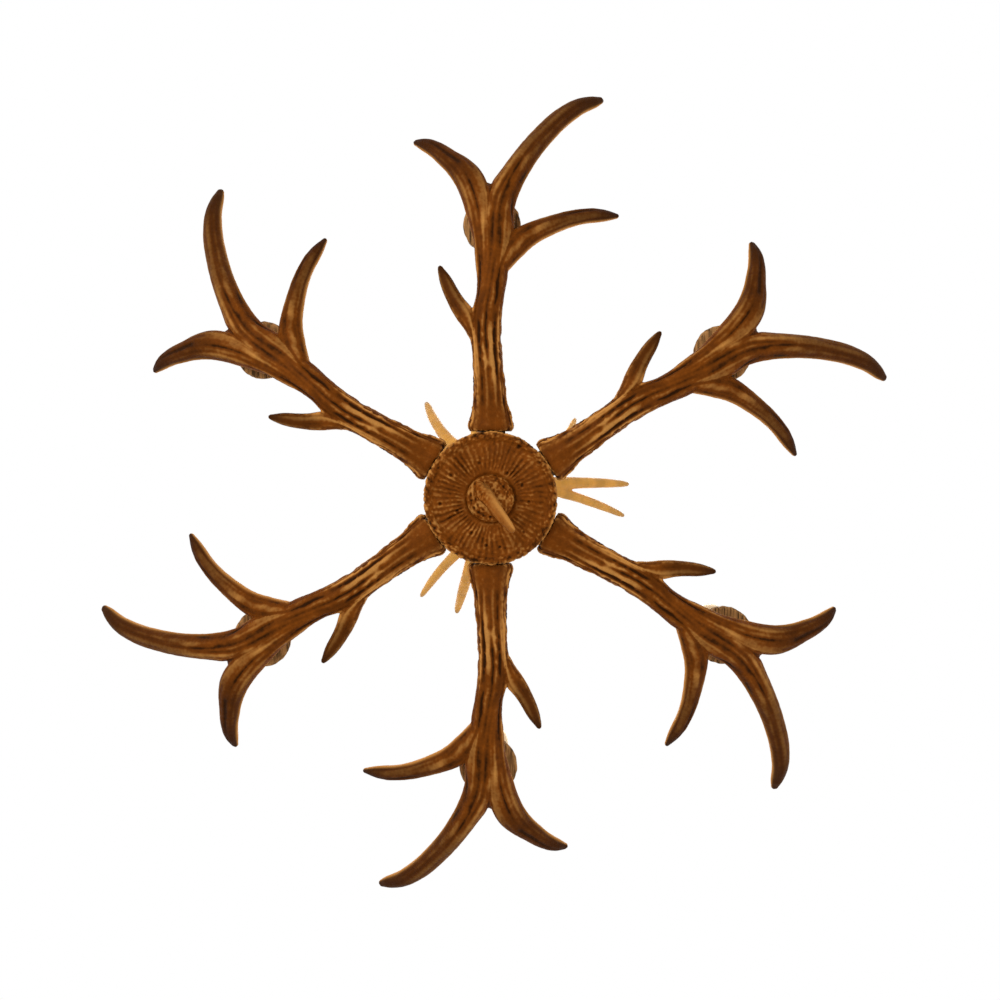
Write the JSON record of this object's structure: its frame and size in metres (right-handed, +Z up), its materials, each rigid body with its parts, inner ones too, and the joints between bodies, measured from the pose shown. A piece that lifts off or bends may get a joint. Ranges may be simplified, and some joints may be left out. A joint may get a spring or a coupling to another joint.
{
  "type": "antler chandelier",
  "caption": "Ceiling chandelier of cast antlers round a burr disc, with candle lamps on the beams, hung on a short chain from a round canopy.",
  "frame": {"origin": "centre of the ceiling plane, on top of the crossbar and canopy", "axes": "+Z up into the ceiling; looking straight up with +X to the right, +Y points down the page"},
  "size_m": [0.7748, 0.7789, 0.6113],
  "materials": {
    "antler_resin": "cast resin antler, dark stained, satin on the ridges",
    "burr_resin": "cast resin burr, dark stained",
    "tine_resin": "cast resin tine, rubbed lighter",
    "crown_resin": "cast resin antler, pale honey",
    "slice_wood": "turned slice with fine grain, waxed",
    "candle_ivory": "ivory candle tube",
    "bronze_paint": "rubbed bronze paint on steel",
    "zinc_steel": "zinc plated steel",
    "holder_plastic": "moulded lampholder",
    "bulb_brass": "brass screw base",
    "bulb_glass": "frosted warm white glass"
  },
  "bodies": {
    "ceiling_mount": {"ceiling_crossbar": "zinc_steel", "canopy_nipple": "zinc_steel", "nipple_locknut": "zinc_steel", "canopy": "bronze_paint", "canopy_loop": "bronze_paint"},
    "link_1": {"chain_link_1": "bronze_paint"},
    "link_2": {"chain_link_2": "bronze_paint"},
    "link_3": {"chain_link_3": "bronze_paint"},
    "link_4": {"chain_link_4": "bronze_paint"},
    "link_5": {"chain_link_5": "bronze_paint"},
    "chandelier": {"antler_arm_1": "antler_resin", "antler_arm_2": "antler_resin", "antler_arm_3": "antler_resin", "antler_arm_4": "antler_resin", "antler_arm_5": "antler_resin", "antler_arm_6": "antler_resin", "arm_bolts": "zinc_steel", "base_boss": "burr_resin", "base_disc": "burr_resin", "base_nut": "zinc_steel", "candle_cup_1": "slice_wood", "candle_cup_2": "slice_wood", "candle_cup_3": "slice_wood", "candle_cup_4": "slice_wood", "candle_cup_5": "slice_wood", "candle_cup_6": "slice_wood", "candle_nipples": "zinc_steel", "candle_sleeve_1": "candle_ivory", "candle_sleeve_2": "candle_ivory", "candle_sleeve_3": "candle_ivory", "candle_sleeve_4": "candle_ivory", "candle_sleeve_5": "candle_ivory", "candle_sleeve_6": "candle_ivory", "column": "antler_resin", "column_cap": "bronze_paint", "crown_antler_1": "crown_resin", "crown_antler_2": "crown_resin", "crown_antler_3": "crown_resin", "crown_screws": "zinc_steel", "finial_tine": "tine_resin", "hub_cover_plate": "bronze_paint", "hub_drum": "bronze_paint", "lampholders": "holder_plastic", "stem_tube": "zinc_steel", "top_loop": "bronze_paint"},
    "bulb_1": {"bulb_base_1": "bulb_brass", "bulb_glass_1": "bulb_glass"},
    "bulb_2": {"bulb_base_2": "bulb_brass", "bulb_glass_2": "bulb_glass"},
    "bulb_3": {"bulb_base_3": "bulb_brass", "bulb_glass_3": "bulb_glass"},
    "bulb_4": {"bulb_base_4": "bulb_brass", "bulb_glass_4": "bulb_glass"},
    "bulb_5": {"bulb_base_5": "bulb_brass", "bulb_glass_5": "bulb_glass"},
    "bulb_6": {"bulb_base_6": "bulb_brass", "bulb_glass_6": "bulb_glass"}
  },
  "joints": [
    {"name": "link_1_tip", "type": "hinge", "parent": "ceiling_mount", "child": "link_1", "pos_m": [0, 0, -0.062], "axis": [1, 0, 0], "range_deg": [-15, 15]},
    {"name": "link_2_tip", "type": "hinge", "parent": "link_1", "child": "link_2", "pos_m": [0, 0, -0.0977], "axis": [0, 1, 0], "range_deg": [-15, 15]},
    {"name": "link_3_tip", "type": "hinge", "parent": "link_2", "child": "link_3", "pos_m": [0, 0, -0.1334], "axis": [1, 0, 0], "range_deg": [-15, 15]},
    {"name": "link_4_tip", "type": "hinge", "parent": "link_3", "child": "link_4", "pos_m": [0, 0, -0.1691], "axis": [0, 1, 0], "range_deg": [-15, 15]},
    {"name": "link_5_tip", "type": "hinge", "parent": "link_4", "child": "link_5", "pos_m": [0, 0, -0.2048], "axis": [1, 0, 0], "range_deg": [-15, 15]},
    {"name": "chandelier_tip", "type": "hinge", "parent": "link_5", "child": "chandelier", "pos_m": [0, 0, -0.2405], "axis": [0, 1, 0], "range_deg": [-15, 15]},
    {"name": "bulb_1_out", "type": "slide", "parent": "chandelier", "child": "bulb_1", "axis": [0, 0, 1], "range_m": [0, 0.03]},
    {"name": "bulb_2_out", "type": "slide", "parent": "chandelier", "child": "bulb_2", "axis": [0, 0, 1], "range_m": [0, 0.03]},
    {"name": "bulb_3_out", "type": "slide", "parent": "chandelier", "child": "bulb_3", "axis": [0, 0, 1], "range_m": [0, 0.03]},
    {"name": "bulb_4_out", "type": "slide", "parent": "chandelier", "child": "bulb_4", "axis": [0, 0, 1], "range_m": [0, 0.03]},
    {"name": "bulb_5_out", "type": "slide", "parent": "chandelier", "child": "bulb_5", "axis": [0, 0, 1], "range_m": [0, 0.03]},
    {"name": "bulb_6_out", "type": "slide", "parent": "chandelier", "child": "bulb_6", "axis": [0, 0, 1], "range_m": [0, 0.03]}
  ]
}
